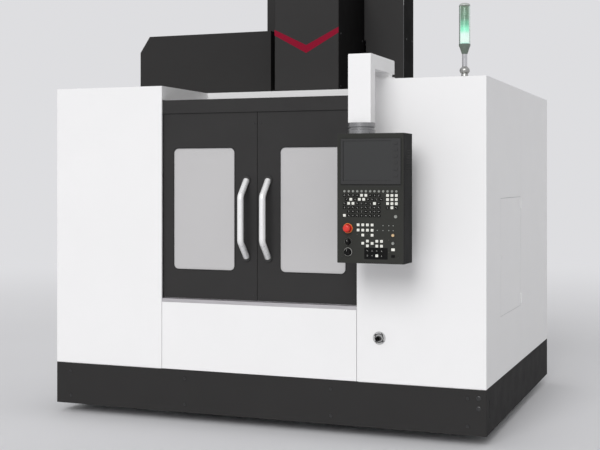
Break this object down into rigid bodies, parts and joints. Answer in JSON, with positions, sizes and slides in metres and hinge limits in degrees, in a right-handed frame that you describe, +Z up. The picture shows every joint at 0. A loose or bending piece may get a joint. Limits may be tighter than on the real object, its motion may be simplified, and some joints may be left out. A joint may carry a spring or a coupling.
{
  "type": "cnc machining center",
  "caption": "Enclosed vertical machining center with sliding doors, swinging control pendant, cross table, sliding head, tool magazine with changer and tower light.",
  "frame": {"origin": "centre of the machine's overall footprint, on the floor", "axes": "+X to the operator's right, +Y to the rear, +Z up"},
  "size_m": [2.777, 2.687, 2.87],
  "materials": {
    "cast_body": "painted casting",
    "steel": "ground",
    "motor_black": "satin",
    "chrome": "polished",
    "dark_sheet": "textured powder coat",
    "black_plastic": "fine texture",
    "white_sheet": "textured powder coat",
    "inner_sheet": "smooth paint",
    "frosted": "frosted",
    "white_plastic": "glossy",
    "display": "dark",
    "red_plastic": "glossy",
    "lens": "clear tinted"
  },
  "bodies": {
    "base": {"bed_casting": "cast_body", "column_casting": "cast_body", "levelling_feet": "steel", "guide_rails": "steel", "axis_motors": "motor_black", "right_cabinet": "white_sheet", "left_cabinet": "white_sheet", "rear_beam": "white_sheet", "front_lower_panel": "white_sheet", "sill_rail": "steel", "door_header": "dark_sheet", "splash_guard": "inner_sheet", "front_skirt": "dark_sheet", "side_skirts": "dark_sheet", "coolant_tank": "inner_sheet", "air_coupling": "steel", "electrical_cabinet": "white_sheet", "swivel_flange": "dark_sheet", "column_cover": "dark_sheet", "magazine_cover": "dark_sheet", "atc_gearbox": "cast_body", "tower_light_base": "black_plastic", "tower_light_lens": "lens"},
    "left_door": {"left_door": "dark_sheet", "left_window": "frosted", "left_handle": "white_plastic"},
    "right_door": {"right_door": "dark_sheet", "right_window": "frosted", "right_handle": "white_plastic"},
    "pendant_arm": {"pendant_arm": "white_sheet", "pendant_neck": "dark_sheet"},
    "pendant": {"pendant_housing": "dark_sheet", "control_plate": "dark_sheet", "screen_bezel": "black_plastic", "screen_glass": "display", "panel_keys": "black_plastic"},
    "estop": {"estop_button": "red_plastic"},
    "feed_knob": {"feed_knob": "black_plastic"},
    "mode_knob": {"mode_knob": "chrome"},
    "side_hatch": {"side_hatch": "white_sheet"},
    "electrical_door": {"electrical_door": "white_sheet"},
    "saddle": {"saddle": "cast_body", "x_rails": "steel", "x_motor": "motor_black", "y_cover_saddle": "steel"},
    "table": {"table": "cast_body"},
    "head": {"headstock": "cast_body", "head_cover": "dark_sheet", "spindle_cartridge": "steel", "spindle_motor": "motor_black"},
    "spindle": {"spindle": "steel"},
    "magazine": {"magazine_disc": "steel", "tool_pots": "black_plastic"},
    "change_pot": {"change_pot": "black_plastic"},
    "atc_shaft": {"atc_shaft": "chrome"},
    "atc_arm": {"atc_arm": "steel"},
    "x_ballscrew": {"x_ballscrew": "chrome"},
    "y_ballscrew": {"y_ballscrew": "chrome"},
    "z_ballscrew": {"z_ballscrew": "chrome"},
    "y_cover_middle": {"y_cover_middle": "steel"}
  },
  "joints": [
    {"name": "left_door_slide", "type": "slide", "parent": "base", "child": "left_door", "axis": [-1, 0, 0], "range_m": [0, 0.5]},
    {"name": "right_door_slide", "type": "slide", "parent": "base", "child": "right_door", "axis": [1, 0, 0], "range_m": [0, 0.5]},
    {"name": "pendant_arm_swivel", "type": "hinge", "parent": "base", "child": "pendant_arm", "pos_m": [0.7445, -0.8665, 2.096], "axis": [0, 0, 1], "range_deg": [-25, 25]},
    {"name": "pendant_swivel", "type": "hinge", "parent": "pendant_arm", "child": "pendant", "pos_m": [0.7445, -1.2165, 1.72], "axis": [0, 0, -1], "range_deg": [-10, 80]},
    {"name": "estop_press", "type": "slide", "parent": "pendant", "child": "estop", "axis": [0, 1, 0], "range_m": [0, 0.006], "stiffness_N_per_m": 800},
    {"name": "feed_knob_turn", "type": "hinge", "parent": "pendant", "child": "feed_knob", "pos_m": [0.696, -1.3055, 1.145], "axis": [0, -1, 0], "range_deg": [-150, 150]},
    {"name": "mode_knob_turn", "type": "hinge", "parent": "pendant", "child": "mode_knob", "pos_m": [0.6955, -1.3055, 1.089], "axis": [0, -1, 0], "range_deg": [-90, 90]},
    {"name": "side_hatch_swing", "type": "hinge", "parent": "base", "child": "side_hatch", "pos_m": [1.386, 0.1215, 1.0255], "axis": [0, 0, 1], "range_deg": [0, 110]},
    {"name": "electrical_door_swing", "type": "hinge", "parent": "base", "child": "electrical_door", "pos_m": [0.609, 1.3185, 1.16], "axis": [0, 0, -1], "range_deg": [0, 110]},
    {"name": "saddle_slide", "type": "slide", "parent": "base", "child": "saddle", "axis": [0, 1, 0], "range_m": [-0.25, 0.25]},
    {"name": "table_slide", "type": "slide", "parent": "saddle", "child": "table", "axis": [1, 0, 0], "range_m": [-0.5, 0.5]},
    {"name": "head_slide", "type": "slide", "parent": "base", "child": "head", "axis": [0, 0, 1], "range_m": [-0.56, 0]},
    {"name": "spindle_spin", "type": "hinge", "parent": "head", "child": "spindle", "pos_m": [0, 0.0535, 1.56], "axis": [0, 0, 1], "continuous": true},
    {"name": "magazine_turn", "type": "hinge", "parent": "base", "child": "magazine", "pos_m": [-0.7, 0.0535, 1.99], "axis": [0, 1, 0], "continuous": true},
    {"name": "change_pot_flip", "type": "hinge", "parent": "magazine", "child": "change_pot", "pos_m": [-0.7, 0.0535, 1.67], "axis": [-1, 0, 0], "range_deg": [0, 90]},
    {"name": "atc_shaft_drop", "type": "slide", "parent": "base", "child": "atc_shaft", "axis": [0, 0, -1], "range_m": [0, 0.11]},
    {"name": "atc_arm_turn", "type": "hinge", "parent": "atc_shaft", "child": "atc_arm", "pos_m": [-0.35, 0.0535, 1.534], "axis": [0, 0, 1], "range_deg": [0, 180]},
    {"name": "x_ballscrew_spin", "type": "hinge", "parent": "saddle", "child": "x_ballscrew", "pos_m": [0, 0.0535, 0.755], "axis": [1, 0, 0], "continuous": true},
    {"name": "y_ballscrew_spin", "type": "hinge", "parent": "base", "child": "y_ballscrew", "pos_m": [0, 0.0535, 0.54], "axis": [0, 1, 0], "continuous": true},
    {"name": "z_ballscrew_spin", "type": "hinge", "parent": "base", "child": "z_ballscrew", "pos_m": [0, 0.6285, 1.8], "axis": [0, 0, 1], "continuous": true},
    {"name": "y_cover_middle_slide", "type": "slide", "parent": "base", "child": "y_cover_middle", "axis": [0, 1, 0], "range_m": [-0.125, 0.125]}
  ],
  "couplings": [
    {"joint": "x_ballscrew_spin", "follows": "table_slide", "rad_per_m": 314.16},
    {"joint": "y_ballscrew_spin", "follows": "saddle_slide", "rad_per_m": 314.16},
    {"joint": "z_ballscrew_spin", "follows": "head_slide", "rad_per_m": 314.16},
    {"joint": "y_cover_middle_slide", "follows": "saddle_slide", "ratio": 0.5}
  ]
}
